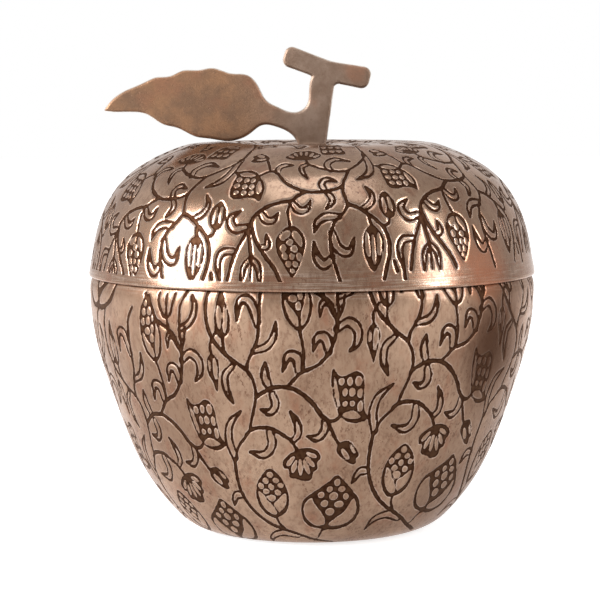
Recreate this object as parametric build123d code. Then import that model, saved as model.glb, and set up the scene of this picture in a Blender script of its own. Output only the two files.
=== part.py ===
from build123d import *
import math
import os

# Sugar bowl in the shape of an apple: a spun copper bowl, and a spun lid that carries a cast leaf on a twig.
# Sizes are in millimetres. The origin is the middle of the ring that the bowl stands on, +Z is up,
# and the leaf points along -X. Every radius is measured from the middle of the bowl.

# Bowl, from the middle of the base outwards and up
bowl_wall = 1.0                 # thickness of the spun sheet
base_lift = 1.2                 # how far the middle of the base is pushed up
base_step = 4.0                 # width of the slope from the raised middle down to the standing ring
ring_radius = 21.0              # inside of the standing ring
ring_width = 4.0
foot_round = 12.0               # round from the ring into the side
foot_turn = 45.0                # degrees that this round turns through
haunch_radius = 42.5            # lower of two places that the side passes through
haunch_height = 15.7
flank_inset = 4.6               # upper one, in from the widest radius
flank_height = 35.7
body_radius = 54.9              # widest part, just under the shoulder
shoulder_height = 59.8          # where the side starts to turn in
shoulder_round = 6.0
neck_round = 2.0                # hollow round from the shoulder into the neck
neck_gap = 0.6                  # between the neck and the skirt of the lid
neck_reach = 7.1                # mouth of the bowl above the edge of the lid
rim_round = 0.4                 # softened edges of the sheet at the mouth and round the lid

# Lid, from its edge inwards
lid_wall = 1.0
lid_overhang = 0.3              # how far the edge stands out beyond the body
lid_height = 32.4               # from the edge to the crest
seat_gap = 0.1                  # between the inner corner of the edge and the shoulder it rests on
skirt_lean = 10.2               # degrees that the skirt leans in
skirt_spare = 0.4               # straight skirt above the mouth of the bowl
cheek_inset = 4.0               # three places that the dome passes through
cheek_height = 16.2
brow_inset = 10.9
brow_drop = 7.2                 # below the crest
crown_radius = 33.0
crown_drop = 1.3
crest_radius = 22.0             # highest ring of the dome
dimple_depth = 2.6              # from the crest down to the flat that carries the twig
dimple_flat_radius = 6.0

# Leaf and twig, one casting
plate_thickness = 3.4
plate_round = 0.8               # rounded edges of the casting
twig_width = 7.0                # where it meets the lid
root_radius = 3.2               # the twig stands on this round root, low enough to stay hidden in the dimple
root_height = 1.9
root_round = 0.9

# Fixing from inside the lid
screw_diameter = 2.0
screw_length = 6.0
thread_gap = 0.05               # radial, between the screw and its tapped hole
tap_runout = 1.0                # tapped hole beyond the end of the screw
lid_hole_gap = 0.2              # radial, round the screw in the lid
washer_gap = 0.1                # radial, round the screw in the washer
washer_diameter = 8.0
washer_thickness = 0.8
head_diameter = 4.0
head_height = 1.4
head_round = 0.7
slot_width = 0.6
slot_depth = 0.7

# Outline of the casting, heights above the crest of the lid.
# Upper edge: from the tip of the leaf along its waved side and the branch, and up the twig
leaf_tip = (-51.2, 7.8)
upper_edge = [
    (-46.3, 12.6), (-41.2, 14.8), (-38.1, 16.1), (-35.0, 16.3), (-31.6, 17.7), (-27.6, 17.8),
    (-24.6, 18.3), (-19.4, 16.9), (-15.9, 16.6), (-13.2, 14.2), (-10.9, 10.2), (-8.1, 8.6),
    (-3.4, 7.4), (-1.3, 8.8), (-0.6, 12.4),
]
# Lower edge: from the foot of the twig back under the branch and the leaf, which nearly touches the crest
lower_edge = [
    (-4.9, 1.8), (-8.2, 3.5), (-12.2, 4.0), (-14.8, 2.2), (-17.5, 0.7), (-21.1, 0.2), (-25.0, 0.8),
    (-28.5, 1.3), (-33.2, 3.5), (-36.6, 4.4), (-40.6, 6.8), (-46.4, 7.4),
]
# Cut end of the twig: a bar that slopes down to the right, from its corner at the left of the twig
# round to the one at the right, each corner with its radius
bar_start = (0.2, 16.1)
bar_corners = [
    ((-7.4, 18.9), 1.9), ((-5.9, 24.0), 1.9), ((5.2, 19.7), 14.0),
    ((15.4, 18.1), 2.0), ((13.9, 12.6), 2.0), ((5.9, 14.3), 1.0),
]

# The inner corner of the leaning skirt sits on the round of the shoulder
lean = math.radians(skirt_lean)
lid_radius = body_radius + lid_overhang
seat_in = body_radius - lid_radius + lid_wall * math.cos(lean)
seat_height = shoulder_height + math.sqrt(shoulder_round**2 - (shoulder_round - seat_in)**2)
lid_edge_height = seat_height + seat_gap + lid_wall * math.sin(lean)

# The neck runs parallel to the skirt, inside it
neck_radius = lid_radius - (lid_wall + neck_gap) / math.cos(lean)       # at the edge of the lid
neck_top_radius = neck_radius - neck_reach * math.tan(lean)
mouth_height = lid_edge_height + neck_reach
skirt_height = neck_reach + skirt_spare
skirt_top_radius = lid_radius - skirt_height * math.tan(lean)

# Where the casting stands, and how far the screw reaches into it
crest_height = lid_edge_height + lid_height
dimple_height = crest_height - dimple_depth
screw_reach = screw_length - lid_wall - washer_thickness
head_seat_height = dimple_height - lid_wall - washer_thickness


def inner_edge(edge, wall):
    # The edge that runs one wall's thickness to the left of this one
    def beside(t):
        along = edge % t
        return edge @ t + wall * Vector(-along.Y, along.X)
    if edge.geom_type == GeomType.LINE:
        return Line(beside(0), beside(1))
    if edge.geom_type == GeomType.CIRCLE:
        return ThreePointArc(beside(0), beside(0.5), beside(1))
    return Spline(*[beside(i / 6) for i in range(7)], tangents=[edge % 0, edge % 1])


def spun_sheet(path, wall, open_end):
    # A smooth path in the plane of the section becomes a wall of even thickness, turned about the middle
    inside = [inner_edge(edge, wall) for edge in path]
    ends = [Line(path[0] @ 0, inside[0] @ 0), Line(path[-1] @ 1, inside[-1] @ 1)]
    section = make_face(path + inside + ends)
    rim = section.vertices().filter_by(lambda corner: (Vector(*corner) - open_end).length < 1.1 * wall)
    return revolve(Plane.XZ * fillet(rim, rim_round), Axis.Z)


def make_bowl_shell():
    base = Line((0, base_lift), (ring_radius - base_step, base_lift))
    step = Spline(base @ 1, (ring_radius, 0), tangents=[(1, 0), (1, 0)])
    ring = Line(step @ 1, (ring_radius + ring_width, 0))
    foot = JernArc(ring @ 1, (1, 0), foot_round, foot_turn)
    side = Spline(
        foot @ 1, (haunch_radius, haunch_height), (body_radius - flank_inset, flank_height),
        (body_radius, shoulder_height), tangents=[foot % 1, (0, 1)],
    )
    # The shoulder turns in and the hollow round turns back until the wall lies along the neck
    to_neck = (neck_radius - body_radius) * math.cos(lean) + (lid_edge_height - shoulder_height) * math.sin(lean)
    rounds = shoulder_round + neck_round
    turn_back = math.degrees(math.acos((to_neck + shoulder_round * math.cos(lean) + neck_round) / rounds))
    shoulder = JernArc(side @ 1, (0, 1), shoulder_round, turn_back + skirt_lean)
    hollow = JernArc(shoulder @ 1, shoulder % 1, neck_round, -turn_back)
    neck = Line(hollow @ 1, (neck_top_radius, mouth_height))
    return spun_sheet([base, step, ring, foot, side, shoulder, hollow, neck], bowl_wall, neck @ 1)


def make_lid_shell():
    skirt = Line((lid_radius, 0), (skirt_top_radius, skirt_height))
    dome = Spline(
        skirt @ 1, (lid_radius - cheek_inset, cheek_height), (lid_radius - brow_inset, lid_height - brow_drop),
        (crown_radius, lid_height - crown_drop), (crest_radius, lid_height), tangents=[skirt % 1, (-1, 0)],
    )
    dimple = Spline(dome @ 1, (dimple_flat_radius, lid_height - dimple_depth), tangents=[(-1, 0), (-1, 0)])
    flat = Line(dimple @ 1, (0, lid_height - dimple_depth))
    sheet = spun_sheet([skirt, dome, dimple, flat], lid_wall, skirt @ 0)
    hole = Cylinder(screw_diameter / 2 + lid_hole_gap, 3 * lid_height)
    return Pos(0, 0, lid_edge_height) * (sheet - hole)


def make_finial():
    upper = Spline(leaf_tip, *upper_edge, bar_start)
    lower = Spline((-twig_width / 2, -dimple_depth), *lower_edge, leaf_tip)
    corners = [bar_start] + [place for place, radius in bar_corners] + [(twig_width / 2, -dimple_depth)]
    bar = FilletPolyline(*corners, radius=[radius for place, radius in bar_corners])
    foot = Line(bar @ 1, lower @ 0)
    plate = extrude(Plane.XZ * make_face([upper, bar, foot, lower]), plate_thickness / 2, both=True)
    outline = plate.faces().filter_by(Axis.Y).edges()
    rounded = outline.filter_by(lambda edge: edge.bounding_box().max.Z > plate_round - dimple_depth)
    plate = Pos(0, 0, dimple_depth) * fillet(rounded, plate_round)

    on_flat = (Align.CENTER, Align.CENTER, Align.MIN)
    root = Cylinder(root_radius, root_height, align=on_flat)
    root = fillet(root.edges().sort_by(Axis.Z)[-1], root_round)
    tapped = Cylinder(screw_diameter / 2 + thread_gap, screw_reach + tap_runout, align=on_flat)
    return Pos(0, 0, dimple_height) * (plate + root - tapped)


def make_finial_washer():
    ring = Circle(washer_diameter / 2) - Circle(screw_diameter / 2 + washer_gap)
    return Pos(0, 0, head_seat_height) * extrude(ring, washer_thickness)


def make_finial_screw():
    shank = Cylinder(screw_diameter / 2, screw_length, align=(Align.CENTER, Align.CENTER, Align.MIN))
    head = Cylinder(head_diameter / 2, head_height, align=(Align.CENTER, Align.CENTER, Align.MAX))
    head = fillet(head.edges().sort_by(Axis.Z)[0], head_round)
    slot = Pos(0, 0, -head_height) * Box(
        2 * head_diameter, slot_width, slot_depth, align=(Align.CENTER, Align.CENTER, Align.MIN)
    )
    return Pos(0, 0, head_seat_height) * (head + shank - slot)


os.makedirs("parts", exist_ok=True)
export_step(make_bowl_shell(), "parts/bowl_shell.step")
export_step(make_lid_shell(), "parts/lid_shell.step")
export_step(make_finial(), "parts/finial.step")
export_step(make_finial_washer(), "parts/finial_washer.step")
export_step(make_finial_screw(), "parts/finial_screw.step")
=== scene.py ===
from math import cos, pi, radians, sin

import bmesh
import bpy
import numpy as np
from mathutils import Matrix, Vector, noise


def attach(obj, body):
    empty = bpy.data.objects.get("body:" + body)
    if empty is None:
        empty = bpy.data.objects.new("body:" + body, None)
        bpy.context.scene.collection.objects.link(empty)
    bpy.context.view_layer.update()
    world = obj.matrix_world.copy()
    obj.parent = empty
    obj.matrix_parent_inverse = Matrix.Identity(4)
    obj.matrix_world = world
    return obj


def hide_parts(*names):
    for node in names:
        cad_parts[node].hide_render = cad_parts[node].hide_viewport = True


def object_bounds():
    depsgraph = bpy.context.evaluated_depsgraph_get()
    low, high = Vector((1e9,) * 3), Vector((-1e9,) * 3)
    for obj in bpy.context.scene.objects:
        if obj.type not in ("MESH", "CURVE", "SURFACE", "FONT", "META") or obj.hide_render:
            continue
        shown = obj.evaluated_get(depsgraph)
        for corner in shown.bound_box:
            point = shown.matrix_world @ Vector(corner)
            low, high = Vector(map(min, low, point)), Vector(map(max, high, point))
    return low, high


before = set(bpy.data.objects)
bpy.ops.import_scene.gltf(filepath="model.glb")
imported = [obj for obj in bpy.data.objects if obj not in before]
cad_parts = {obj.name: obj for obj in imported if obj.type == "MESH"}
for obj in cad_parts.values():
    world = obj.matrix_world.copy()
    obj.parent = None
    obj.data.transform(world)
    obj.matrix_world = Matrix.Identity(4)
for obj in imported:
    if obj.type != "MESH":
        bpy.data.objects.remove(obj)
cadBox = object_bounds()
mm = 0.001


class Value:
    # a socket that can be used in sums; every sum adds a Math node
    def __init__(self, finish, socket):
        self.finish = finish
        self.socket = socket

    def __getitem__(self, name):
        return Value(self.finish, self.socket.node.outputs[name])

    def maths(self, operation, first, second):
        return self.finish.node("Math", {"operation": operation}, nr_0=first, nr_1=second)

    def __add__(self, other):
        return self.maths("ADD", self, other)

    def __radd__(self, other):
        return self.maths("ADD", other, self)

    def __sub__(self, other):
        return self.maths("SUBTRACT", self, other)

    def __rsub__(self, other):
        return self.maths("SUBTRACT", other, self)

    def __mul__(self, other):
        return self.maths("MULTIPLY", self, other)

    def __rmul__(self, other):
        return self.maths("MULTIPLY", other, self)

    def step(self, low, high):
        # soft step from 0 at low to 1 at high; low may be the greater of the two
        return self.finish.node("MapRange", {"interpolation_type": "SMOOTHSTEP"}, Value=self,
                                From_Min=low, From_Max=high)


class Finish:
    # the nodes of one material, or of the world
    def __init__(self, holder):
        holder.use_nodes = True
        self.holder = holder
        self.tree = holder.node_tree
        self.tree.nodes.clear()

    def node(self, kind, settings=(), **sockets):
        # sockets by name, with _ for a space, or as nr_ and their number
        node = self.tree.nodes.new("ShaderNode" + kind)
        for name, value in dict(settings).items():
            setattr(node, name, value)
        for name, value in sockets.items():
            slot = node.inputs[int(name[3:]) if name.startswith("nr_") else name.replace("_", " ")]
            if isinstance(value, Value):
                self.tree.links.new(value.socket, slot)
            else:
                slot.default_value = (*value, 1) if slot.type == "RGBA" else value
        return Value(self, node.outputs[0]) if len(node.outputs) else None

    def mix(self, amount, first, second):
        # so much of the second colour over the first
        return self.node("Mix", {"data_type": "RGBA"}, nr_0=amount, nr_6=first, nr_7=second)[2]

    def spots(self, size, stretch=(1, 1, 1), detail=2.0, roughness=0.5, shift=0.0):
        # noise whose spots are about so many millimetres across, 0 to 1
        where = self.node("TexCoord")["Object"]
        across = self.node("Mapping", Vector=where, Location=(shift, shift, shift),
                           Scale=tuple(1 / mm / size / s for s in stretch))
        return self.node("TexNoise", Vector=across, Scale=1.0, Detail=detail, Roughness=roughness)

    def shade(self, **sockets):
        self.node("OutputMaterial", Surface=self.node("BsdfPrincipled", **sockets))
        return self.holder


def addObject(name, data):
    thing = bpy.data.objects.new(name, data)
    bpy.context.scene.collection.objects.link(thing)
    return thing


def through(points, closed=False, fine=6):
    # smooth curve through a few points
    p = np.array(points, float)
    n = len(p)
    if n == 2 and not closed:
        return p
    ends = (p[-1:], p[:2]) if closed else (2 * p[:1] - p[1:2], 2 * p[-1:] - p[-2:-1])
    q = np.vstack([ends[0], p, ends[1]])
    t = np.arange(fine)[:, None] / fine
    spans = []
    for i in range(n if closed else n - 1):
        a, b, c, d = q[i:i + 4]
        spans.append(b + (c - a) * t / 2 + (a - 2.5 * b + 2 * c - d / 2) * t ** 2
                     + (1.5 * (b - c) + (d - a) / 2) * t ** 3)
    return np.vstack(spans if closed else spans + [p[-1:]])


def oval(x, y, long, short, turn=0.0):
    a = np.radians(np.arange(0, 360, 24))
    u, v = long / 2 * np.cos(a), short / 2 * np.sin(a)
    c, s = cos(radians(turn)), sin(radians(turn))
    return np.stack([x + u * c - v * s, y + u * s + v * c], 1)


etching = {
    "fine": 0.1,         # step of the drawing, in degrees across and millimetres down
    "leafSpare": 0.4,    # added to the width of every leaf
    "leafLine": 0.68,    # each of the two lines of a leaf
    "leafTip": 0.75,     # width of its end
    "seedSpare": 0.3,    # added to the plain seeds and petals
    "between": 0.22,     # half the line that stays between two plain shapes
    "rim": 0.45,         # the line that stays round a dark head
    "depth": 0.13,       # of the lines in the sheet, millimetres
    "wallStart": -0.12,  # where their walls start, outside the line
    "wallWidth": 0.34,
}
noInk = -3.0  # stands for far from any line
farOff = 9.0


def fromLine(x, y, start, end):
    # how far along a straight line each place lies, 0 to 1, and how far away from it
    (ax, ay), (bx, by) = start, end
    ux, uy = bx - ax, by - ay
    t = np.clip(((x - ax) * ux + (y - ay) * uy) / (ux * ux + uy * uy + 1e-12), 0, 1)
    return t, np.hypot(x - ax - ux * t, y - ay - uy * t)


def inside(outline, x, y):
    # how far each place lies inside a closed outline, and below 0 how far outside it
    near = np.full(x.shape, farOff)
    odd = np.zeros(x.shape, bool)
    for start, end in zip(outline, np.roll(outline, -1, 0)):
        near = np.minimum(near, fromLine(x, y, start, end)[1])
        (ax, ay), (bx, by) = start, end
        crossing = ax + (bx - ax) * (y - ay) / ((by - ay) or 1e-9)
        odd ^= ((ay > y) != (by > y)) & (x < crossing)
    return np.where(odd, near, -near)


class Etching:
    # one repeat of the vine, flat: degrees across, millimetres from the seam down or up; it keeps how far
    # each place lies within the dark lines, and below 0 how far outside them
    def __init__(self, period, low, high, sway):
        self.low = low
        self.sway = sway
        self.fine = etching["fine"]
        self.columns = round(period / self.fine)
        self.rows = round((high - low) / self.fine)
        self.ink, self.leaves = np.full((2, self.rows, self.columns), noInk)
        self.move = (0.0, 0.0)

    def lift(self, x):
        # repeats stand a little higher or lower round the bowl, as it was marked out by hand
        return self.sway[0] * np.sin(np.radians(x + self.sway[1]))

    def lay(self, points, depth, reach, light, sheet):
        # dark or plain shape drawn on the vines or on the leaves, only where it reaches
        corner = np.array([0, self.low])
        low = np.floor((points.min(0) - reach - corner) / self.fine).astype(int)
        high = np.ceil((points.max(0) + reach - corner) / self.fine).astype(int)
        columns = np.arange(low[0], high[0])
        rows = np.arange(max(low[1], 0), min(high[1], self.rows))
        if len(rows) == 0:
            return
        within = depth(*np.meshgrid(columns * self.fine, rows * self.fine + self.low))
        part = np.ix_(rows, columns % self.columns)
        sheet[part] = np.minimum(sheet[part], -within) if light else np.maximum(sheet[part], within)

    def settle(self, points):
        p = np.array(points, float)
        p[:, 1] -= self.lift(p[:, 0])
        return p + self.move

    def stroke(self, points, widths, light=False, leaf=False):
        # a line whose width runs evenly through the given widths
        p = self.settle(points)
        half = np.interp(np.linspace(0, 1, len(p)), np.linspace(0, 1, len(widths)), widths) / 2

        def depth(x, y):
            best = np.full(x.shape, -farOff)
            for start, end, h, k in zip(p[:-1], p[1:], half[:-1], half[1:]):
                t, away = fromLine(x, y, start, end)
                best = np.maximum(best, h + (k - h) * t - away)
            return best
        self.lay(p, depth, half.max() + 1.0, light, self.leaves if leaf else self.ink)

    def fill(self, outlines, light=False, head=None):
        # closed outlines; where they would touch, a thin line stays between them and round the head
        shapes = [self.settle(outline) for outline in outlines]
        around = None if head is None else self.settle(head)

        def depth(x, y):
            depths = [inside(shape, x, y) for shape in shapes] + [np.full(x.shape, -farOff)]
            depths = np.sort(depths, axis=0)
            within = np.minimum(depths[-1], (depths[-1] - depths[-2]) / 2 - etching["between"])
            return within if head is None else np.minimum(within, inside(around, x, y) - etching["rim"])
        self.lay(np.vstack(shapes), depth, 1.0, light, self.ink)

    def vine(self, *points, width=0.9, end=None):
        self.stroke(through(points), [width, end or width])

    def leaf(self, *points, width=2.2, solid=0.3):
        # two lines that leave the vine side by side, bend over and meet in a solid tip
        spine = through(points, fine=8)
        width += etching["leafSpare"]
        self.stroke(spine, [0.8 * width, width, width, 0.85 * width, etching["leafTip"]], leaf=True)
        inner = spine[:max(3, round(len(spine) * (1 - 0.5 * solid)))]
        clear = width - 2 * etching["leafLine"]
        self.stroke(inner, [0.7 * clear, clear, clear, 0.8 * clear, 0.15], light=True, leaf=True)

    def flower(self, outline, lobes=(), seeds=()):
        # dark head with plain lobes, and with plain seeds or petals: place, length, width and turn
        head = through(outline, True)
        self.fill([head])
        more = etching["seedSpare"]
        plain = [through(lobe, True) for lobe in lobes]
        plain += [oval(x, y, long + more, short + more, *turn) for x, y, long, short, *turn in seeds]
        if plain:
            self.fill(plain, light=True, head=head)

    def at(self, x, y):
        # the ink at any place, in every repeat; vines and flowers lie over the leaves
        u = (x / self.fine) % self.columns
        v = np.clip((y - self.lift(x) - self.low) / self.fine, 0, self.rows - 1.001)
        i, j = u.astype(int) % self.columns, v.astype(int)
        fu, fv = u % 1, v - j
        k = (i + 1) % self.columns
        both = np.maximum(self.ink, self.leaves)
        low = both[j, i] * (1 - fu) + both[j, k] * fu
        high = both[j + 1, i] * (1 - fu) + both[j + 1, k] * fu
        return low * (1 - fv) + high * fv


def bowlVine(e, foot=True):
    # main stem, up to the seam; the row that fills in above starts higher
    if foot:
        e.vine((9, 69.5), (1, 67.4), (-5, 65), (-10, 63.2), width=1.1)
        e.leaf((-6, 65.4), (-12, 64.2), (-17, 66.2), (-19, 70), width=2.6)
    e.vine((-10, 63.2), (-15.5, 61), (-20, 57.5), (-22.8, 53), (-23.7, 48), (-23.2, 41.5), width=1.1)
    e.vine((-23, 42), (-21.6, 38.4), (-19.4, 36), (-17.4, 33.8), (-16.5, 31), (-15.2, 27.5), (-14.5, 24),
           (-15, 20.6), (-16.4, 18.2), width=0.85)
    e.vine((-16.2, 18.4), (-19.3, 16.4), (-22.6, 13.8), (-25, 10.6), (-26.2, 6.5), (-26, 2.5), (-25.2, -1),
           (-23, -5), width=0.95)
    e.vine((-16.2, 18.2), (-15.8, 16.2), (-14.4, 13.8), (-13.2, 11), (-12.7, 7.5), (-12.5, 3), (-12, -1),
           (-10, -4))
    # arcs that carry the flowers
    e.vine((-14.7, 25.3), (-12.7, 23.9), (-10.5, 22.7), (-7.5, 22.3), (-4.8, 22.8), (-2, 24.5), (0.5, 27),
           (2.2, 29.4), (4.2, 30.9), width=1.1)
    e.vine((4, 31), (6, 30.8), (7.4, 29.6), width=0.95)
    e.vine((4, 31), (5.2, 33.5), (6.3, 35.5), (7.5, 37.2))
    e.vine((-18.4, 34.7), (-16.5, 33.3), (-14, 32.8), (-11, 33), (-8.5, 34.3), (-6.4, 35.6), (-5.1, 37.2),
           (-4.3, 38.6), width=1.1, end=0.85)
    e.vine((-6.4, 22.4), (-4.8, 20.8), (-3, 19), (-1.4, 18.2), (1, 17.2), (3, 15.4), (4.6, 13), (5.6, 10),
           (6, 7.5), (5.2, 4.6), (3.3, 1.7), (0.8, 0), (-1.6, -1.7), (-3.5, -4.5), (-4.8, -7.3), width=0.95)
    e.vine((-2.3, 18.6), (-2, 15), (-2.4, 11.5), (-3, 8.9), width=0.75)
    e.flower([(-3.6, -7.2), (-6.4, -4), (-7.2, 1.6), (-6.2, 6.1), (-3.2, 9), (-0.6, 6.7), (0.1, 2.7),
              (-0.8, -1.3), (-2.2, -4.8)],
             [[(-6.6, 1.8), (-5.8, 2.6), (-3.4, 5.8), (-3.5, 8), (-5.5, 5.8)],
              [(-1.4, -0.6), (-0.6, 2.4), (-1.1, 6), (-2.5, 7.8), (-2.4, 4.7), (-1.7, 1.8)]],
             [(-4.7, -5.1, 1, 1.5), (-5.4, -3, 1.4, 1.6), (-3.5, -3.2, 1.3, 1.6), (-5.9, -0.7, 1.2, 1.5),
              (-4, -0.8, 1.7, 1.7), (-2.5, -1.4, 0.9, 1.5), (-4.5, 1.5, 1.8, 1.6), (-2.8, 0.9, 1.1, 1.7),
              (-3.2, 3.3, 1.2, 1.8)])
    # open flower, closed flower and cob
    e.flower([(-4.4, 38.4), (-6.6, 39.6), (-8.6, 41.4), (-8.4, 43.3), (-7.1, 43.7), (-6.9, 45.8),
              (-4.7, 46.3), (-2.6, 46.8), (-0.5, 46.3), (0.2, 44.3), (1.4, 43.4), (1.3, 41.6), (2.3, 40.5),
              (1.6, 38.9), (-0.4, 37.9), (-2.6, 37.9)],
             (), [(-6.4, 41.4, 3.4, 1, -46), (-5.4, 42.9, 3.7, 1.1, -68), (-3.6, 43, 4.3, 1.2, -90),
                  (-1.9, 42.9, 4.1, 1.1, 66), (-0.8, 41.5, 3.5, 1, 48), (-0.3, 39.7, 3.1, 0.9, 20)])
    e.flower([(7.3, 37), (8.1, 36.3), (10.1, 36.2), (12.1, 38), (13.2, 40.1), (12.5, 40.9), (12.6, 42.3),
              (10.9, 42.2), (8.9, 41), (7.1, 39.4), (6.8, 38)],
             (), [(9.3, 39.6, 3.5, 1.2, 50), (11.4, 38.3, 2.8, 1, 55)])
    e.flower([(5.2, 17.7), (6.2, 19.4), (8.1, 19.7), (10.8, 18.6), (12.7, 19.8), (13.2, 22.4), (13.3, 25.6),
              (13.8, 28.6), (14.9, 30.5), (12.1, 31.6), (9.7, 31.3), (7.3, 29.8), (6.3, 27.8), (5.1, 23.8),
              (4.7, 19.8)],
             [[(5.3, 20.2), (5.9, 20.4), (6.8, 24.6), (7.1, 27.2), (6.5, 27.3), (5.6, 23.8)],
              [(7.8, 29.4), (10.3, 28.4), (13, 30.1), (10.8, 30.6), (9.1, 30.4)]],
             [(7.3, 21, 1.3, 1.9), (9.4, 21, 1.2, 1.9), (11.6, 21.1, 1.5, 2.4), (8.3, 23.8, 1.1, 1.9),
              (10.1, 23.8, 1.4, 1.9), (12.2, 24.1, 1.2, 2.2), (8.4, 26.7, 1.2, 1.2), (10.4, 26.6, 1.1, 1.3),
              (12.5, 27.3, 1.2, 2.6)])
    # oval pod and round pod
    e.flower([(-12.8, 43.6), (-14.9, 44.9), (-17.2, 47.5), (-18.5, 51.2), (-18.3, 54.4), (-16.7, 57.2),
              (-14.2, 58.6), (-12, 58), (-10, 57), (-8.3, 54.8), (-7.7, 51.6), (-8.5, 48.2), (-10.3, 45.2)],
             [[(-17.6, 50.4), (-16.5, 50.7), (-14.1, 53.6), (-12.6, 56.6), (-13.9, 57.5), (-15.9, 56.2),
               (-17.4, 53.8)],
              [(-8.8, 50.4), (-8.6, 52.2), (-9.3, 54.4), (-11.1, 56.2), (-11.9, 56.4), (-13.1, 53.9),
               (-11, 52.2)]],
             [(-12.9, 45.2, 1.8, 1.5), (-14.6, 47, 1.6, 1.5), (-11.4, 46.8, 1.7, 1.2),
              (-16.3, 48.5, 1.6, 1.5), (-13.1, 48.7, 1.6, 1.6), (-10, 48.2, 1.5, 1.2),
              (-14.8, 50.2, 2, 1.5), (-11.2, 50.3, 1.9, 1.5), (-13.7, 52, 2.8, 2)])
    e.vine((-13, 58.3), (-12.6, 60.3), (-10.4, 63), width=0.85)
    e.flower([(7.2, 45.3), (4.5, 47.3), (0.5, 49.9), (-2.7, 52.1), (-4, 55.3), (-3.4, 58.9), (-1.2, 61.4),
              (2.4, 62.4), (5.2, 62.5), (8, 62.9), (12, 61.9), (15.2, 59.9), (16.2, 56.3), (15.2, 52.7),
              (13, 50.3), (10.2, 47.5)],
             [[(-0.4, 51.9), (0.6, 53.7), (3.9, 57.9), (4.3, 60.6), (1.2, 61.1), (-1.9, 59.1), (-3.2, 56.1),
               (-2.5, 53.3)],
              [(13.2, 52.3), (14.8, 54.7), (15.1, 57.2), (13.4, 59.8), (10, 61.3), (6.2, 61.4), (6.1, 60.1),
               (8.2, 58.5), (10.8, 56.4)]],
             [(7.5, 47.3, 1.7, 1.8), (5.3, 49.3, 1.6, 1.6), (9.1, 49.3, 2, 1.4), (2.6, 50.9, 1.9, 1.6),
              (6.6, 51.3, 2.6, 2.3), (10.7, 51.5, 1.6, 1.8), (3.8, 53.6, 2.3, 1.9), (8.7, 53.9, 2.8, 1.9),
              (5.8, 56.3, 2.8, 2.3)])
    e.vine((5, 58.5), (5, 62.3), width=1.2)
    e.vine((5, 62.3), (3.4, 63.2), (2, 66.5))
    # long buds, and the tulip that runs into the seam
    e.flower([(14.8, 7.4), (13.4, 8.7), (13.1, 11.4), (14, 14.1), (15, 16.8), (15.7, 14.4), (16.3, 11.8),
              (16.3, 9.1)], (), [(13.8, 10, 3.4, 0.65, 86), (15.3, 10.9, 5.4, 1.1, 92)])
    e.vine((14.8, 8), (14.6, 5.2), (16, 2.8), width=0.7)
    e.flower([(-22, 11), (-23.8, 9.4), (-23.8, 5.5), (-23.1, 2.2), (-22.3, -0.8), (-21, 2.6), (-19.9, 6),
              (-20.2, 9.4)], (), [(-21.1, 6.4, 6.8, 0.9, 94), (-22.7, 6.2, 5.4, 1.1, 88)])
    e.vine((-21.9, 10.5), (-21.9, 13), (-21, 15.2), (-19.2, 16.8), width=0.75)
    e.vine((6, 7.4), (6.3, 4.2), (6, 1.9), (6.3, -1.2), (6.7, -4.2), (8.2, -7), width=0.8)
    e.vine((6.5, 5.8), (7.3, 3.8), (7.8, 0.8), width=0.7)
    e.vine((0.1, -7.3), (0.1, -4.8), (1.5, -2), (3.2, -1.9), (4.4, -4.7), (5.1, -7.1), width=0.75)
    e.vine((2.5, -7), (2.4, -4.6), (2.4, -1.8), (2.9, 1.1), (4.2, 4), (5.4, 6), width=0.7)
    # leaves
    e.leaf((6.4, 1.2), (8.7, 0.2), (10.3, -1.7), (10.8, -4.1), (10, -6.5), width=1.8)
    e.leaf((-22.9, 41), (-23.9, 36.4), (-22.8, 32.2), (-19.2, 28.8), width=2.3, solid=0.22)
    e.leaf((-20, 17.6), (-22.2, 20), (-22.3, 23.6), (-20.9, 26.8), width=1.9, solid=0.4)
    e.leaf((-14.2, 13.8), (-10.9, 12.6), (-9.2, 10.3), (-8.6, 7), width=1.9, solid=0.42)
    e.leaf((-10.9, 22.3), (-11.8, 19.6), (-11.5, 16.4), width=2.1)
    e.leaf((-10.2, 24.2), (-9.6, 26.8), (-11, 28.7), (-13.7, 28.1), solid=0.42)
    e.leaf((-3.3, 18.4), (-3.7, 15.2), (-5.8, 14.8), (-7.2, 18.5), width=2.3, solid=0.35)
    e.leaf((4, 13.7), (3.3, 10.8), (1.4, 10.4), (0.3, 13.6), width=2.3)
    e.leaf((5.9, 8.6), (8.6, 7), (10.9, 9), (10.7, 12), (9, 13.8), solid=0.25)
    e.leaf((3.3, 30.9), (3.2, 33.3), (1.4, 35.2), (-1.5, 34.8))
    e.leaf((-5.2, 35.8), (-3.9, 34.2), (-4.2, 31.4), (-5.8, 28.5), width=2, solid=0.5)
    e.leaf((-11.7, 33.8), (-11.4, 37.2), (-13.8, 39.8), (-18.1, 39.2), width=2.5, solid=0.25)
    e.leaf((4.6, 3.4), (3.2, 2.3), (2.2, 3.2), (1.9, 5.6), width=1.5, solid=0.4)
    e.leaf((-13, 7.4), (-14.6, 2.6), (-17.2, 2.2), (-18.1, 6.8), width=2.1)
    e.leaf((16.4, 44.4), (14, 44.6), (12.1, 47.6), width=2.3)


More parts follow.
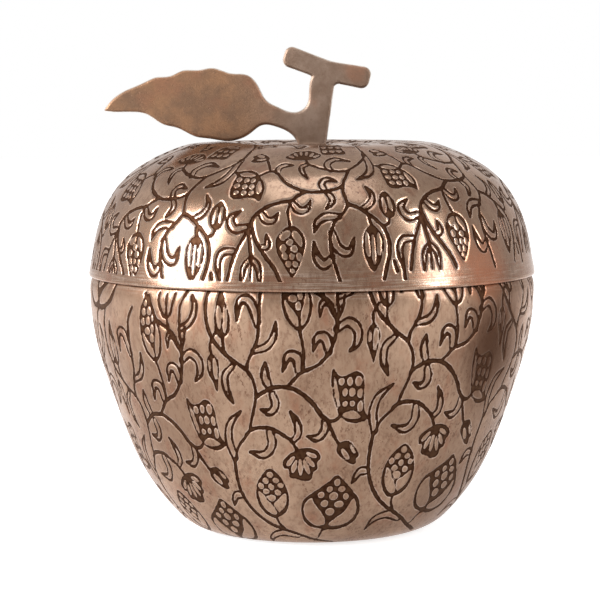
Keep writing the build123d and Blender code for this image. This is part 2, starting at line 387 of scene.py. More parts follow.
def lidVine(e):
    # stems, from the crest down to the plain band
    e.vine((20.2, 43), (20.1, 38.4), (18.6, 35.8), (16, 33.5), (13.5, 31.8), (11.8, 30.6), (10.4, 28.4),
           (9.1, 26), (8.8, 23.4), (9.6, 20.2))
    e.vine((11.8, 30.7), (9, 30.2), (6, 30.6), (3.4, 31.3), (0.8, 32.4), (-1, 33.5), (-2, 35.8))
    e.vine((9.7, 20.2), (8.2, 17.9), (6, 15.9), (4.8, 13.2), (4.5, 10.3), (5, 7.4), (6, 4.4), (6.9, 1.2))
    e.vine((9.8, 20), (12.5, 19), (14.7, 17.4), (16.8, 15.8), (18.4, 14), (19.3, 11.2), (19.1, 8),
           (18.2, 5), (17.5, 2.4), width=1)
    e.vine((18.2, 14.6), (19.8, 15.2), (20.2, 16.8), width=0.8)
    e.vine((9.1, 25.8), (7.6, 24.6), (4.4, 23.6), (1, 23.4), (-1.5, 23.6), (-4, 24.4), (-6.5, 25.7),
           (-8.6, 27.5), (-10, 29.2), (-11.4, 30.2), (-13.2, 30.2), (-15.4, 28.8))
    e.vine((-12.8, 30.4), (-14, 33), (-15.6, 35.6), width=0.8)
    e.vine((-1.6, 23.5), (-3.6, 22.4), (-5.4, 21.1), (-8.2, 20.6), (-11, 19.7), (-13.4, 18.3),
           (-14.9, 16.7), (-15.1, 15), (-14.3, 12.2), (-12.9, 9.8), (-11, 7.4), (-8.8, 4.6), (-7.3, 1.8),
           width=1)
    e.vine((-15.2, 16.4), (-16, 13.6), (-17.6, 10.8), (-18.9, 8.2), (-19.8, 5.2), (-20.6, 1.6))
    e.vine((-15.9, 13.8), (-15.3, 10.6), (-14.7, 7.2), width=1)
    e.vine((-5.5, 21), (-6.1, 18.4), (-5.5, 15), width=0.85)
    e.vine((14.8, 16.8), (15.1, 14.8))
    e.flower([(-5, 14.7), (-3, 13.9), (-1.6, 11.8), (-1.6, 9.4), (-2.5, 6.3), (-4.4, 3.1), (-5.6, 4),
              (-7, 6.3), (-8.4, 8.6), (-8.8, 11.3), (-7.3, 13.8)],
             [[(-7.9, 12), (-6.9, 13.3), (-5.4, 13.6), (-5.4, 12.3), (-6.7, 11.2)],
              [(-4.6, 13.6), (-3.3, 13.1), (-2.4, 11.6), (-2.5, 9.9), (-3.6, 10.9), (-4.6, 12.2)]],
             [(-5.4, 11, 1.5, 1.4), (-6.9, 9.6, 1.4, 1.5), (-4.2, 9.4, 1.5, 1.5), (-6.4, 7.7, 1.3, 1.4),
              (-4.8, 7.7, 1.2, 1.4), (-3.1, 7.6, 1.1, 1.6), (-5.6, 6, 1.2, 1.3), (-4, 5.9, 1.1, 1.4),
              (-4.5, 4.5, 0.9, 1)])
    e.flower([(-9.3, 36.6), (-7.8, 38.4), (-6.1, 39.9), (-3.4, 40.4), (-0.3, 40.4), (2.4, 39.3),
              (3.7, 38.1), (2.5, 36.5), (-0.3, 35.5), (-3, 35.2), (-6, 35.4)],
             (), [(-7.3, 37.1, 2.6, 0.9, -24), (-5.8, 38.3, 2.7, 0.9, -52), (-3.9, 38.8, 2.4, 0.9, -78),
                  (-1.8, 38.8, 2.4, 0.9, 80), (0.2, 38.2, 2.6, 0.9, 52), (1.9, 37.4, 2.4, 0.8, 24)])
    e.flower([(-14.8, 35.8), (-16.4, 37.5), (-19, 38.6), (-21, 38), (-21.7, 36.8), (-20.8, 36),
              (-21.3, 34.6), (-18.8, 34.1), (-16.4, 34.6)],
             (), [(-18.8, 37.3, 3.2, 1.1, -16), (-17.8, 35.5, 3.4, 0.9, 8)])
    e.flower([(-24.4, 29.8), (-22.6, 30.1), (-20.3, 30.6), (-18, 30.3), (-16, 28.9), (-14.5, 27.2),
              (-13.2, 24.8), (-13.4, 22.6), (-14, 20.9), (-15.4, 21.6), (-17.6, 21.8), (-20.3, 21.4),
              (-22.7, 22.2), (-23.2, 25.9), (-23, 28.4)],
             [[(-22.3, 29.1), (-20.3, 29.8), (-18.2, 29.5), (-16.7, 28.5), (-18.4, 28.2), (-20.6, 28.3)],
              [(-15.2, 27), (-14, 24.8), (-14.2, 22.8), (-15.3, 23.4), (-15.7, 25.6)]],
             [(-21.6, 27.2, 1.6, 1.3), (-19.2, 27, 1.5, 1.3), (-17.1, 26.9, 1.3, 1.2),
              (-21.6, 25.2, 1.6, 1.2), (-19.2, 25, 1.6, 1.2), (-17.1, 25, 1.3, 1.2),
              (-21.2, 23.2, 1.5, 1.1), (-18.9, 23.1, 1.5, 1.2), (-16.8, 23.1, 1.3, 1.2)])
    e.flower([(20.2, 23.4), (18.3, 21.6), (17.9, 19.2), (18.7, 17.2), (20.2, 16.3), (21.8, 17.2),
              (22.6, 19.8), (21.8, 22)],
             (), [(19.4, 19.7, 4.2, 0.9, 88), (21.1, 19.9, 4, 0.9, 94)])
    e.flower([(15.1, 14.9), (13, 12.8), (12.6, 9.4), (13.3, 6.3), (14.9, 4.1), (16.2, 5.6), (17.2, 7.5),
              (18, 10.5), (17.1, 13.4)], (),
             [(13.8, 10.3, 5.6, 1.1, 92), (15.2, 9.2, 7.2, 1, 90), (16.7, 10.4, 5.4, 1.1, 86)])
    # half tulip above the band
    e.leaf((-14.9, 7.2), (-16.4, 5.2), (-17, 1.4), width=1.5, solid=0.2)
    e.leaf((-14.5, 7.2), (-12.9, 5.2), (-12.3, 1.4), width=1.5, solid=0.2)
    e.vine((-14.7, 7), (-14.7, 1.6), width=0.6)
    # leaves
    e.leaf((-16.4, 14.4), (-19.6, 14), (-21, 16.4), (-18.6, 18.3), width=2.1, solid=0.25)
    e.leaf((-13.2, 17.9), (-11.6, 16.2), (-9.8, 16.1), (-8.6, 17.8), width=1.9, solid=0.25)
    e.leaf((-4.9, 20.4), (-3.4, 18.7), (-1.4, 18.8), (-0.2, 21), width=1.9)
    e.leaf((-12.4, 9.6), (-10.8, 10.2), (-11.2, 12.6), width=1.6, solid=0.4)
    e.leaf((-19.2, 8.8), (-22, 8.4), (-23.1, 6), (-22.3, 1.8), width=1.8)
    e.leaf((6.9, 17), (3.6, 16.9), (1.5, 15.6), (0.6, 13.2), width=2)
    e.leaf((4.9, 7.4), (3, 5.8), (1.2, 7.6), (0.5, 11), solid=0.45)
    e.leaf((5, 13.2), (6.4, 9.6), (9, 8.6), (10.5, 11.9))
    e.leaf((3.8, 23.9), (2.9, 25.7), (4.3, 27.3), (7.3, 26.6), width=1.8, solid=0.35)
    e.leaf((4.1, 23.4), (5.5, 21.7), (5.1, 20.3), (3.8, 18.9), width=1.7)
    e.leaf((13.2, 18.8), (15.7, 20.2), (16.6, 22.4), (15.2, 24.9), width=1.8, solid=0.5)
    e.leaf((19.9, 37.6), (19.4, 32.4), (17.6, 29.2), (13.5, 27.2), width=2.4)
    e.leaf((5.9, 30.8), (5.3, 33.4), (8.4, 35.6), (13.4, 34.6))
    e.leaf((-10.4, 30), (-10.2, 31.9), (-8.4, 32.9), (-5.8, 32.8), width=2)
    e.leaf((-1.2, 33.2), (-3, 32.3), (-2.8, 30.2), (-1.2, 27.8), width=1.7, solid=0.35)
    e.vine((-24.8, 3.6), (-24.2, 1.4))
    e.vine((21.4, 7.6), (22.6, 4.6), (22.8, 2))
    # round the crest
    e.vine((20.2, 42.6), (19.6, 45.6), (17, 48.2), (13, 49.2), (9.6, 48.2), (8.4, 46.4))
    e.flower([(4, 38.6), (6.2, 38.2), (9, 38.4), (11.6, 38.1), (13.2, 38.9), (13, 41.2), (13.4, 44.2),
              (12, 45.7), (9, 46.1), (5.8, 45.9), (3.8, 45), (3.4, 42)],
             [[(4.6, 45), (8.6, 44.6), (12.4, 44.8), (10.8, 45.4), (6.4, 45.4)]],
             [(5.4, 40.2, 1.9, 1.5), (8.2, 40.1, 1.9, 1.4), (11.1, 40.2, 2.1, 1.5), (5.3, 42.8, 1.9, 1.5),
              (8.3, 42.7, 1.8, 1.4), (11.4, 42.7, 2, 1.5)])
    e.leaf((-22.6, 42.6), (-19.4, 44.6), (-15.8, 43.4), width=2, solid=0.35)
    e.vine((-24.8, 43), (-20, 46.5), (-14, 47.4), (-9, 45.4), (-6.4, 43), width=0.85)
    e.flower([(-6.8, 43.4), (-6.2, 41.9), (-4.4, 41.7), (-2.8, 42.8), (-2, 44.4), (-3.4, 46.2),
              (-5.4, 45.4)],
             (), [(-4.8, 43.6, 2.6, 0.9, 30), (-3.8, 44.8, 2, 0.8, 25)])


def crestWreath(e):
    # wave over the crest, with leaves outside and flowers down in the dimple
    e.vine((-2.5, 54), (0, 53.2), (3, 54.6), (5.5, 56), (8.5, 55.2), (11, 53.6), (13.2, 54), (15.7, 53.2),
           width=0.8)
    e.vine((5.5, 56), (6.8, 58), (6.4, 60), width=0.7)
    e.flower([(6.4, 59.6), (4.9, 61), (4.8, 63), (6.2, 64.6), (7.8, 63.4), (8, 61.2)], (),
             [(5.8, 62.2, 2.2, 0.7, 90), (7, 62.2, 2.2, 0.7, 90)])
    e.leaf((2.6, 54.6), (1.2, 57.4), (2.6, 60.2), width=1.5, solid=0.4)
    e.leaf((9.4, 55), (11.4, 56.8), (10.6, 59.6), width=1.5, solid=0.4)
    e.vine((13.4, 54), (14.4, 57.2), (13.8, 60), width=0.7)
    e.flower([(13.8, 59.6), (12.6, 60.8), (12.8, 62.4), (13.9, 63.4), (15, 62.4), (15.1, 60.8)], (),
             [(13.8, 61.6, 1.2, 0.9)])
    e.leaf((6.8, 55.6), (7.4, 52.2), (5.4, 50.4), width=1.6, solid=0.35)
    e.leaf((11.6, 53.6), (13, 51), (11.4, 48.8), width=1.6, solid=0.35)
    e.leaf((1.4, 53.4), (1.6, 50.8), (-0.4, 49.2), width=1.6, solid=0.35)


sharpCorner = 0.86  # cosine of the turn at which a corner of a section stays sharp
# reach of the CAD model from the axis, in millimetres, which the skins stay within
widest = min(abs(side) for corner in cadBox for side in tuple(corner)[:2]) / mm


def readSection(name):
    # section of a turned node, in millimetres: radius and height of the points along its seam, in order
    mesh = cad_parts[name].data
    place = np.array([v.co for v in mesh.vertices]) / mm
    onSeam = (np.abs(place[:, 1]) < 0.001) & (place[:, 0] > -0.001)
    beside = {}
    for edge in mesh.edges:
        if onSeam[edge.vertices[0]] and onSeam[edge.vertices[1]]:
            a, b = (tuple(np.round(place[i, [0, 2]], 3).tolist()) for i in edge.vertices)
            if a != b:
                beside.setdefault(a, set()).add(b)
                beside.setdefault(b, set()).add(a)
    # an open section starts at its lower end, a closed one at its top beside the hole, and runs outward
    ends = sorted((p for p in beside if len(beside[p]) == 1), key=lambda p: p[1])
    run = [ends[0] if ends else min(beside, key=lambda p: (round(p[0], 1), -p[1]))]
    while True:
        onward = [p for p in beside[run[-1]] if p not in run]
        if not onward:
            return np.array(run)
        run.append(max(onward))


def alongRun(points, at):
    # places on a smooth run through the points, by distance along it; real corners stay sharp
    step = np.diff(points, axis=0)
    gap = np.hypot(*step.T)
    reach = reachOf(points)
    slope = step / gap[:, None]
    even = (slope[:-1] * gap[1:, None] + slope[1:] * gap[:-1, None]) / (gap[:-1] + gap[1:])[:, None]
    sharp = ((slope[:-1] * slope[1:]).sum(1) < sharpCorner)[:, None]
    leave = np.vstack([slope[:1], np.where(sharp, slope[1:], even)])
    arrive = np.vstack([np.where(sharp, slope[:-1], even), slope[-1:]])
    i = np.clip(np.searchsorted(reach, at, "right") - 1, 0, len(gap) - 1)
    h, t = gap[i][:, None], ((at - reach[i]) / gap[i])[:, None]
    return (points[i] * (1 + 2 * t) * (1 - t) ** 2 + points[i + 1] * t * t * (3 - 2 * t)
            + h * (leave[i] * t * (1 - t) ** 2 - arrive[i] * t * t * (1 - t)))


def reachOf(points):
    return np.r_[0, np.cumsum(np.hypot(*np.diff(points, axis=0).T))]


def stationsOf(marks):
    # distances along the section: each mark says how far, and how close the rows stand up to there
    rows = [0.0]
    for far, close in marks:
        count = max(1, round((far - rows[-1]) / close))
        rows += np.linspace(rows[-1], far, count + 1)[1:].tolist()
    return np.array(rows)


def sinkInto(points):
    # unit direction to the left of the way the section runs
    along = np.gradient(points, axis=0)
    along /= np.hypot(*along.T)[:, None]
    return np.stack([-along[:, 1], along[:, 0]], 1)


def smoothFaces(mesh):
    mesh.polygons.foreach_set("use_smooth", [True] * len(mesh.polygons))


def turned(name, rows, columns, closed, lining):
    # skin of a turned piece, from the radius and height of each row and the number of its columns; faces
    # of five corners join the rows where the columns halve or double, and open ends close in a pole
    places, first = [], []
    for (radius, height), count in zip(rows, columns):
        first.append(len(places))
        a = np.arange(count) * 2 * pi / count
        r = np.minimum(np.broadcast_to(radius, count), widest)
        z = np.maximum(np.broadcast_to(height, count), 0)
        places += np.stack([r * np.sin(a), -r * np.cos(a), z], 1).tolist()
    faces, kinds = [], []

    def join(i, j):
        m, n = columns[i], columns[j]
        fewer = min(m, n)
        p, q = m // fewer, n // fewer
        for k in range(fewer):
            lower = [first[i] + (p * k + step) % m for step in range(p + 1)]
            upper = [first[j] + (q * k + step) % n for step in range(q, -1, -1)]
            faces.append(lower + upper)
            kinds.append(lining[i])
    for i in range(len(rows) - 1):
        join(i, i + 1)
    if closed:
        join(len(rows) - 1, 0)
    else:
        for i, back in ((0, True), (len(rows) - 1, False)):
            pole = len(places)
            places.append([0, 0, float(np.mean(rows[i][1]))])
            for k in range(columns[i]):
                a, b = first[i] + k, first[i] + (k + 1) % columns[i]
                faces.append((b, a, pole) if back else (a, b, pole))
                kinds.append(lining[i])
    mesh = bpy.data.meshes.new(name)
    mesh.from_pydata((np.array(places) * mm).tolist(), [], faces)
    mesh.polygons.foreach_set("material_index", kinds)
    smoothFaces(mesh)
    return addObject(name, mesh)


def storeOnPoints(piece, name, values):
    spot = piece.data.attributes.new(name, "FLOAT", "POINT")
    full = np.full(len(piece.data.vertices), noInk)
    full[:len(values)] = values
    spot.data.foreach_set("value", full)


def etchedSkin(name, section, stations, side, closed, columnsAt, inkAt, lining):
    # turned skin with the vine cut in and the ink stored at every point; the wall is to the left of the
    # way the section runs where side is 1, to the right where it is -1
    points = alongRun(section, stations)
    rows, columns, ink = [], [], []
    for s, (r, z), (ir, iz) in zip(stations, points, side * sinkInto(points)):
        count = columnsAt(s, r)
        if columns:
            count = min(max(count, columns[-1] // 2), columns[-1] * 2)
        degrees = np.arange(count) * 360 / count
        degrees = np.where(degrees > 180, degrees - 360, degrees)
        dark = inkAt(s, degrees)
        t = np.clip((dark - etching["wallStart"]) / etching["wallWidth"], 0, 1)
        sunk = etching["depth"] * t * t * (3 - 2 * t)
        rows.append((r + ir * sunk, z + iz * sunk))
        columns.append(count)
        ink.append(dark)
    piece = turned(name, rows, columns, closed, lining)
    storeOnPoints(piece, "ink", np.concatenate(ink))
    return piece


skin = {
    "around": 864,     # columns over the widest part; they halve where the wall is plain or narrow
    "rowHeight": 0.4,  # of the etched rows, millimetres
}
bowlShape = {
    "seamHeight": 62.86,           # edge of the lid
    "ringRadius": 25,              # outside of the ring that it stands on
    "repeat": 40,                  # degrees taken by one repeat of the vine
    "canvas": (-20, 92),           # millimetres that its drawing covers, from the seam down
    "plants": ((0, 0), (6, -72)),  # the main plants, and the row that fills in above them
    "sway": (-14, 45),             # how far the repeats rise and fall round the bowl, and where they start
    "halveAt": (22, 35),           # radii below which there are fewer columns: inside, and outside
}


def makeBowl():
    vine = Etching(bowlShape["repeat"], *bowlShape["canvas"], bowlShape["sway"])
    for vine.move in bowlShape["plants"]:
        bowlVine(vine, foot=vine.move[1] >= 0)
    print("bowl vine drawn")
    section = readSection("bowl_shell")
    reach = reachOf(section)
    mouth = section[:, 1].argmax()
    rim = reach[mouth]
    offRing = np.abs(section[:, 0] - bowlShape["ringRadius"]) + 10 * (section[:, 1] > 0.05)
    ring = reach[np.argmin(offRing)]
    rising = slice(8, mouth + 1)  # from beyond the slope under the base up to the mouth
    seam = np.interp(bowlShape["seamHeight"], section[rising, 1], reach[rising])
    stations = stationsOf([(ring - 4, 0.6), (ring, 0.8), (seam - 8, skin["rowHeight"]), (seam + 3.5, 0.4),
                           (rim - 1.2, 0.7), (rim + 1.2, 0.14), (reach[-1], 1.8)])
    around = skin["around"]
    few, most = bowlShape["halveAt"]

    def columnsAt(s, r):
        if s < ring - 6 or (s > rim and r < few):
            return around // 8
        if s > rim:
            return around // 4
        return around if r > most and s < seam + 1.5 else around // 2

    def inkAt(s, degrees):
        if ring <= s <= seam + 0.8:
            return vine.at(degrees, seam - s)
        return np.full(len(degrees), noInk)
    lining = [1 if s > rim + 1.0 else 0 for s in stations]
    piece = etchedSkin("bowl_etched", section, stations, 1, False, columnsAt, inkAt, lining)
    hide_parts("bowl_shell")
    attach(piece, "bowl")
    print("bowl made,", len(piece.data.polygons), "faces")
    return piece


lidShape = {
    "repeat": 45,
    "canvas": (-6, 66),    # from the edge up
    "sway": (3.5, 0),
    "wreath": (15.7, 60),  # length of one repeat of the wreath, and the degrees that it takes
    "wreathCanvas": (46, 67),
    "plainBand": 1.6,      # left plain above the edge
    "wreathStart": 50.5,   # along the wall, just below the crest
    "wreathOverlap": 2.5,
    "vineEnd": 66,         # at the bottom of the dimple
    "halveAt": (9, 15, 33),
}


def makeLid():
    vine = Etching(lidShape["repeat"], *lidShape["canvas"], lidShape["sway"])
    lidVine(vine)
    length, degreesTaken = lidShape["wreath"]
    wreath = Etching(length, *lidShape["wreathCanvas"], (0, 0))
    crestWreath(wreath)
    print("lid vine drawn")
    section = readSection("lid_shell")
    whole = np.vstack([section, section[:1]])
    reach = reachOf(whole)
    seam = reach[section[:, 0].argmax()]
    stations = stationsOf([(4.5, 1.0), (seam - 2.4, skin["rowHeight"]), (seam - 0.9, 0.3),
                           (seam + 1.6, 0.12), (reach[-1] - 6, 1.7), (reach[-1], 1.0)])[:-1]
    around = skin["around"]
    few, more, most = lidShape["halveAt"]

    def columnsAt(s, r):
        if r < few:
            return around // 8
        if r < more or s > seam + 0.8:
            return around // 4
        return around // 2 if r < most else around

    def inkAt(s, degrees):
        y = seam - s
        dark = np.full(len(degrees), noInk)
        if lidShape["plainBand"] <= y <= lidShape["wreathStart"]:
            dark = np.minimum(vine.at(degrees, y), y - lidShape["plainBand"] - 0.3)
        if lidShape["wreathStart"] - lidShape["wreathOverlap"] <= y <= lidShape["vineEnd"]:
            dark = np.maximum(dark, wreath.at(degrees * length / degreesTaken, y))
        return dark
    lining = [1 if s > seam + 1.4 else 0 for s in stations]
    piece = etchedSkin("lid_etched", whole, stations, -1, True, columnsAt, inkAt, lining)
    piece.data.flip_normals()
    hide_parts("lid_shell")
    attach(piece, "lid")
    print("lid made,", len(piece.data.polygons), "faces")
    return piece


finialShape = {
    "grain": 0.28,          # size of the faces, millimetres
    "softening": (0.5, 5),  # how strongly their steps are smoothed, and how often
    "unevenness": 0.1,      # how deep the cast face dips
    "dips": (7, 0.5),       # size and strength of the broad dips, and of the small ones
    "smallDips": (1.6, 0.22),
}


def makeFinial():
    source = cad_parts["finial"]
    piece = addObject("finial_cast", source.data.copy())
    remesh = piece.modifiers.new("even faces", "REMESH")
    remesh.mode = "VOXEL"
    remesh.voxel_size = finialShape["grain"] * mm
    soften = piece.modifiers.new("soften", "SMOOTH")
    soften.factor, soften.iterations = finialShape["softening"]
    ready = piece.evaluated_get(bpy.context.evaluated_depsgraph_get())
    mesh = bpy.data.meshes.new_from_object(ready)
    mesh.materials.clear()
    piece.modifiers.clear()
    piece.data = mesh
    count = len(mesh.vertices)
    place, facing = np.zeros(count * 3), np.zeros(count * 3)
    mesh.vertices.foreach_get("co", place)
    mesh.vertices.foreach_get("normal", facing)
    place, facing = place.reshape(-1, 3), facing.reshape(-1, 3)
    (broad, deep), (small, shallow) = finialShape["dips"], finialShape["smallDips"]
    for i in range(count):
        where = Vector(place[i]) / mm
        dip = 0.5 + deep * noise.noise(where / broad) + shallow * noise.noise(where / small)
        place[i] -= facing[i] * finialShape["unevenness"] * mm * min(max(dip, 0), 1)
    mesh.vertices.foreach_set("co", place.ravel())
    smoothFaces(mesh)
    # how far each point faces away from the flat sides; the painted highlight of the rim follows it
    storeOnPoints(piece, "rim", 1 - np.abs(facing[:, 1]))
    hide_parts("finial")
    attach(piece, "lid")
    print("finial made,", len(mesh.polygons), "faces")
    return piece


copperLook = {
    "pale": (0.268, 0.169, 0.11),
    "deep": (0.144, 0.08, 0.047),
    # red of the smudges, and of the painted reflections on the band and on the right of the bowl
    "red": (0.175, 0.067, 0.034),
    "edge": (0.46, 0.35, 0.285),              # painted highlight: bright halo beside the lines, and bright streaks on the band of the lid
    "speck": (0.08, 0.029, 0.013),
    "line": (0.019, 0.005, 0.001),            # etched lines, and the painted dark reflection
    "worn": (0.042, 0.018, 0.008),            # floor of the lines where it is worn
    # colour of the painted warm reflection
    "blush": (0.36, 0.125, 0.058),
    "grazing": (0.88, 0.73, 0.65),            # tint of what the copper mirrors at a grazing angle
    "lineRoughness": 0.5,
    "tarnish": ((43, -32, 48), 3, 21),        # painted dark reflection: darkest place on the right in mm, and how far it reaches
    "heat": ((40, -36, 67), 2, 11),           # painted warm reflection, red, on the right of the lid
    "band": ((0.06, 0.0628), (0.07, 0.065)),  # heights in metres between which it is streaked
    # how strongly each mark colours the copper
    "mix": {"cloud": 0.75, "smudge": 0.62, "streak": 0.46, "rubbed": 0.52, "specks": 0.8, "tarnish": 0.88,
            "heat": 0.55, "redLevel": 0.62, "brightLevel": 0.45},
    # size of the spots in mm, stretch downward, detail, roughness and shift of the noise, and where the
    # marks start and are full
    "marks": {"cloud": (24, 1.6, 4, 0.62, 0, 0.34, 0.66),
              "smudge": (5.5, 2.2, 4, 0.65, 9, 0.5, 0.72),
              "streak": (1.2, 2.4, 4, 0.7, 5, 0.44, 0.7),
              "pits": (0.7, 1.6, 3, 0.7, 7, 0.53, 0.66),
              "patch": (6, 1.8, 3, 0.5, 2, 0.4, 0.64),
              "rubbed": (3.2, 1, 2, 0.5, 13, 0.34, 0.66),
              "worn": (1.6, 1, 3, 0.5, 11, 0.3, 0.6)},
}
# roughness, strength of the lacquer, how brown the copper is, and how far its grain is rubbed away
bowlPolish = {"rough": 0.27, "lacquer": 0.26, "brown": 0, "rub": 0}
lidPolish = {"rough": 0.18, "lacquer": 0.42, "brown": 0.1, "rub": 0.7}


def nearTo(f, where, middle, near, far):
    # 1 within so many millimetres of a place, 0 beyond the further distance
    middle = tuple(v * mm for v in middle)
    away = f.node("VectorMath", {"operation": "DISTANCE"}, nr_0=where, nr_1=middle)["Value"]
    return away.step(far * mm, near * mm)


def copperMark(f, name):
    size, down, detail, roughness, shift, low, high = copperLook["marks"][name]
    return f.spots(size, (1, 1, down), detail, roughness, shift).step(low, high)


def etchedCopper(name, polish):
    f = Finish(bpy.data.materials.new(name))
    look, amount = copperLook, copperLook["mix"]
    where = f.node("TexCoord")["Object"]
    ink = f.node("Attribute", {"attribute_name": "ink"})["Fac"]
    wobble = (f.spots(1.6) - 0.5) * 0.55 + (f.spots(0.4, detail=1, shift=3) - 0.5) * 0.18
    line = (ink + wobble).step(-0.09, 0.06)
    plain = 1 - line
    # painted highlight: a bright halo beside the lines, broken up by noise
    rubbed = (ink + wobble).step(-0.38, -0.1) * plain * copperMark(f, "rubbed")
    worn = (ink + wobble).step(0.12, 0.42) * copperMark(f, "worn")
    cloud = copperMark(f, "cloud")
    smudge = copperMark(f, "smudge")
    streak = copperMark(f, "streak")
    specks = copperMark(f, "pits") * (0.15 + 0.85 * copperMark(f, "patch"))
    # painted dark reflection on the right of the bowl, with a little cloud in it
    tarnish = nearTo(f, where, *look["tarnish"]) * (0.8 + 0.2 * cloud)
    # painted warm reflection on the right of the lid
    heat = nearTo(f, where, *look["heat"]) * (0.55 + 0.45 * cloud)
    # rings left by the spinning tool, clearest along the edge of the lid, and level streaks of painted
    # reflection, red and bright, along that edge
    height = f.node("SeparateXYZ", Vector=where)["Z"]
    ring = f.node("TexNoise", {"noise_dimensions": "1D"}, W=height, Scale=4200, Detail=2)
    lower, upper = look["band"]
    band = height.step(*lower) * height.step(*upper)
    level = f.spots(10, (1, 1, 0.035), detail=3, roughness=0.6, shift=6)
    copper = f.mix(cloud * amount["cloud"] + polish["brown"], look["pale"], look["deep"])
    over = [
        # painted reflections in level streaks along the band: red, and a bright highlight
        ("red", level.step(0.46, 0.62) * band * amount["redLevel"]),
        ("edge", level.step(0.5, 0.32) * band * amount["brightLevel"]),
        # red smudges, and the reddish part of the painted dark reflection
        ("red", smudge * amount["smudge"] + tarnish * 0.4),
        ("speck", streak * amount["streak"]),
        # painted highlight beside the lines
        ("edge", rubbed * amount["rubbed"]),
        ("speck", specks * amount["specks"]),
        # painted dark reflection
        ("line", tarnish * amount["tarnish"]),
        # painted warm reflection
        ("blush", heat * amount["heat"]),
    ]
    for tone, much in over:
        copper = f.mix(much, copper, look[tone])
    colour = f.mix(line, copper, f.mix(worn, look["line"], look["worn"]))
    rough = polish["rough"] + cloud * 0.08 + specks * 0.2 + streak * 0.05 - rubbed * 0.03
    rough = rough * plain + look["lineRoughness"] * line
    grain = specks * 0.22 + streak * 0.06 + f.spots(0.22, detail=1, shift=1) * 0.1
    relief = plain * 0.6 - ink.step(-0.55, 0.12) * 0.9 - grain * (1 - polish["rub"])
    relief = relief + ring * (0.05 + 0.3 * band)
    bump = f.node("Bump", Height=relief, Strength=0.55, Distance=0.12 * mm)
    return f.shade(Base_Color=colour, Roughness=rough, Metallic=0.92, Normal=bump,
                   Specular_Tint=look["grazing"], Coat_Weight=plain * (1 - tarnish) * polish["lacquer"],
                   Coat_Roughness=0.2)


tinLook = {"pale": (0.5, 0.485, 0.46), "dull": (0.385, 0.37, 0.35), "fine": (0.24, 0.22, 0.2)}


def wipedTin(name):
    f = Finish(bpy.data.materials.new(name))
    wipe = f.spots(7, (1, 1, 0.25), detail=5, roughness=0.6).step(0.3, 0.72)
    fine = f.spots(0.7, (1, 1, 0.4), shift=4)
    colour = f.mix(wipe, tinLook["pale"], tinLook["dull"])
    colour = f.mix(fine.step(0.55, 0.8) * 0.4, colour, tinLook["fine"])
    bump = f.node("Bump", Height=wipe + fine * 0.4, Strength=0.25, Distance=0.1 * mm)
    return f.shade(Base_Color=colour, Roughness=0.36 + wipe * 0.16, Metallic=0.9, Normal=bump)


castLook = {
    "face": (0.212, 0.146, 0.108),
    "leaf": (0.226, 0.119, 0.064),
    "leafFrom": (0, -0.022),       # metres along X where the colour turns into that of the leaf
    "dark": (0.118, 0.07, 0.045),
    "red": (0.23, 0.1, 0.056),
    "bright": (0.62, 0.54, 0.47),  # painted highlight on the rounded rim
}


def castCopper(name):
    f = Finish(bpy.data.materials.new(name))
    look = castLook
    rim = f.node("Attribute", {"attribute_name": "rim"})["Fac"]
    across = f.node("SeparateXYZ", Vector=f.node("TexCoord")["Object"])["X"]
    cloud = f.spots(6, detail=4, roughness=0.62).step(0.32, 0.68)
    blush = f.spots(8, detail=3, shift=6).step(0.5, 0.74)
    grain = f.spots(0.5, detail=3, roughness=0.7, shift=3)
    pits = f.spots(0.8, roughness=0.7, shift=5).step(0.6, 0.72)
    # painted highlight along the rounded rim, broken up by noise
    worn = (rim + (f.spots(2.2, detail=3, shift=8) - 0.5) * 0.5).step(0.22, 0.62)
    worn = worn * (1 - rim.step(0.86, 0.99) * 0.75)  # the flat edge between the two rounds gets less of the painted highlight
    colour = f.mix(across.step(*look["leafFrom"]), look["face"], look["leaf"])
    colour = f.mix(cloud * 0.75, colour, look["dark"])
    colour = f.mix(blush * 0.45, colour, look["red"])
    colour = f.mix(grain.step(0.52, 0.72) * 0.4 + pits * 0.3, colour, look["dark"])
    colour = f.mix(worn * 0.85, colour, look["bright"])
    bump = f.node("Bump", Height=grain + cloud * 0.6 - pits * 0.8, Strength=0.35, Distance=0.12 * mm)
    rough = 0.46 + cloud * 0.1 - worn * 0.16
    return f.shade(Base_Color=colour, Roughness=rough, Metallic=0.88, Normal=bump)


fixingShape = {
    "easing": {"finial_washer": 0.14, "finial_screw": 0.10},  # of the corners, millimetres
    "sharp": 35,  # degrees of turn from which an edge counts as a corner
}


def makeFixing(name):
    # copy of the CAD part with its flat faces joined and its corners eased
    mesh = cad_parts[name].data.copy()
    build = bmesh.new()
    build.from_mesh(mesh)
    bmesh.ops.remove_doubles(build, verts=build.verts, dist=0.001 * mm)
    bmesh.ops.dissolve_limit(build, angle_limit=radians(1), verts=build.verts, edges=build.edges)
    sharp = radians(fixingShape["sharp"])
    corners = [e for e in build.edges if e.is_manifold and e.calc_face_angle() > sharp]
    bmesh.ops.bevel(build, geom=corners, offset=fixingShape["easing"][name] * mm, segments=4, profile=0.5,
                    affect="EDGES", clamp_overlap=True)
    build.to_mesh(mesh)
    build.free()
    mesh.materials.clear()
    smoothFaces(mesh)
    piece = addObject(name + "_eased", mesh)
    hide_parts(name)
    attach(piece, "lid")
    print(name, "made,", len(mesh.polygons), "faces")
    return piece


brassLook = {"bright": (0.72, 0.53, 0.25), "dull": (0.42, 0.29, 0.13)}


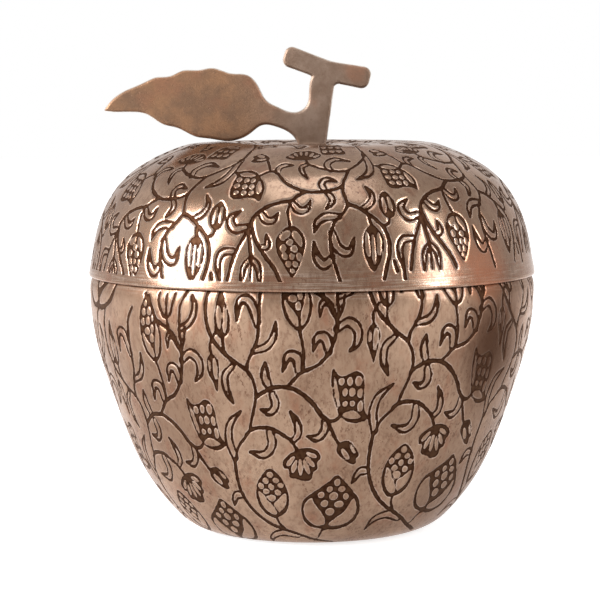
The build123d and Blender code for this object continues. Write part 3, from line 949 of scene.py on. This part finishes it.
def turnedBrass(name):
    f = Finish(bpy.data.materials.new(name))
    cloud = f.spots(2.5, detail=3).step(0.35, 0.7)
    scratch = f.spots(0.25, (1, 4, 1), shift=2)
    colour = f.mix(cloud * 0.7, brassLook["bright"], brassLook["dull"])
    bump = f.node("Bump", Height=scratch, Strength=0.2, Distance=0.05 * mm)
    return f.shade(Base_Color=colour, Roughness=0.3 + cloud * 0.18, Metallic=0.95, Normal=bump)


def dress(piece, *materials):
    for material in materials:
        piece.data.materials.append(material)


bowl, lid, finial = makeBowl(), makeLid(), makeFinial()
tin, brass = wipedTin("tin_lining"), turnedBrass("fixing_brass")
dress(bowl, etchedCopper("bowl_copper", bowlPolish), tin)
dress(lid, etchedCopper("lid_copper", lidPolish), tin)
dress(finial, castCopper("cast_copper"))
for name in fixingShape["easing"]:
    dress(makeFixing(name), brass)
print("finishes made")

studio = {
    "room": 0.34,                    # even light from all round
    "roomColour": (1, 0.985, 0.965),
    "floorColour": (0.62, 0.62, 0.62),
    "floorSize": 3,                  # metres from the middle
    "floorShade": (0.26, 0.1, 0.3),  # painted shade: how much greyer the floor's glow is round the bowl, and how far out
    "lampColour": (0.9, 0.95, 1),
    "aim": (0, 0, 0.06),             # what the lamps point at
}
# each lamp: watts, degrees round to the right, degrees up, metres away, width and height in metres
lamps = {
    "left": (11, -62, 21, 0.9, (0.34, 0.64)),
    "window": (8, -75, 22, 0.9, (0.2, 0.5)),
    "side": (0.5, -115, 20, 0.9, (0.6, 0.6)),
    "right": (6, 66, 21, 0.9, (0.2, 0.65)),
    "above": (4, 10, 80, 1.0, (0.7, 0.7)),
}


def whiteRays(f):
    # 1 for the rays that see the studio white: from the camera, mirrored or let through
    ray = f.node("LightPath")
    return ray["Is Camera Ray"] + ray["Is Glossy Ray"] + ray["Is Transmission Ray"]


def makeFloor():
    mesh = bpy.data.meshes.new("floor")
    build = bmesh.new()
    bmesh.ops.create_circle(build, cap_ends=True, segments=96, radius=studio["floorSize"])
    build.to_mesh(mesh)
    build.free()
    floor = addObject("floor", mesh)
    floor.location = (0, 0, -0.0001)
    f = Finish(bpy.data.materials.new("floor_paper"))
    away = f.node("VectorMath", {"operation": "LENGTH"}, nr_0=f.node("TexCoord")["Object"])["Value"]
    shade, near, far = studio["floorShade"]
    # painted shade: the floor's white glow is greyer round the bowl, so that its shadow shows there
    white = f.mix(away.step(far, near) * shade, (1, 1, 1), (0, 0, 0))
    paper = f.node("BsdfDiffuse", Color=studio["floorColour"])
    bright = f.node("AddShader", nr_0=paper, nr_1=f.node("Emission", Color=white))
    f.node("OutputMaterial", Surface=f.node("MixShader", nr_0=whiteRays(f), nr_1=paper, nr_2=bright))
    mesh.materials.append(f.holder)


def makeWorld():
    world = bpy.data.worlds.new("room")
    bpy.context.scene.world = world
    f = Finish(world)
    room = f.node("Background", Color=studio["roomColour"], Strength=studio["room"])
    white = f.node("Background", Color=(1, 1, 1), Strength=1.0)
    f.node("OutputWorld", Surface=f.node("MixShader", nr_0=whiteRays(f), nr_1=room, nr_2=white))


def makeLamp(name, watts, around, up, away, size):
    lamp = bpy.data.lights.new(name, "AREA")
    lamp.shape = "RECTANGLE"
    lamp.energy = watts
    lamp.size, lamp.size_y = size
    lamp.color = studio["lampColour"]
    holder = addObject(name, lamp)
    a, e = radians(around), radians(up)
    aim = Vector(studio["aim"])
    holder.location = Vector((sin(a) * cos(e), -cos(a) * cos(e), sin(e))) * away + aim
    holder.rotation_euler = (aim - holder.location).to_track_quat("-Z", "Y").to_euler()


camera = {
    "place": (0, -0.555, 0.1082),
    "lookDown": 5.38,  # degrees, as are the two below
    "turnLeft": 0.307,
    "roll": -0.3,
    "lens": 134.4,
}


def makeCamera():
    lens = bpy.data.cameras.new("camera")
    lens.lens, lens.sensor_width = camera["lens"], 36
    lens.clip_start, lens.clip_end = 0.01, 20
    eye = addObject("camera", lens)
    look = Matrix()
    for turn, axis in ((camera["turnLeft"], "Z"), (90 - camera["lookDown"], "X"), (camera["roll"], "Z")):
        look = look @ Matrix.Rotation(radians(turn), 4, axis)
    eye.matrix_world = Matrix.Translation(camera["place"]) @ look
    bpy.context.scene.camera = eye


makeFloor()
makeWorld()
for name, settings in lamps.items():
    makeLamp("lamp_" + name, *settings)
makeCamera()
bpy.context.scene.view_settings.view_transform = "Standard"
print("studio made")
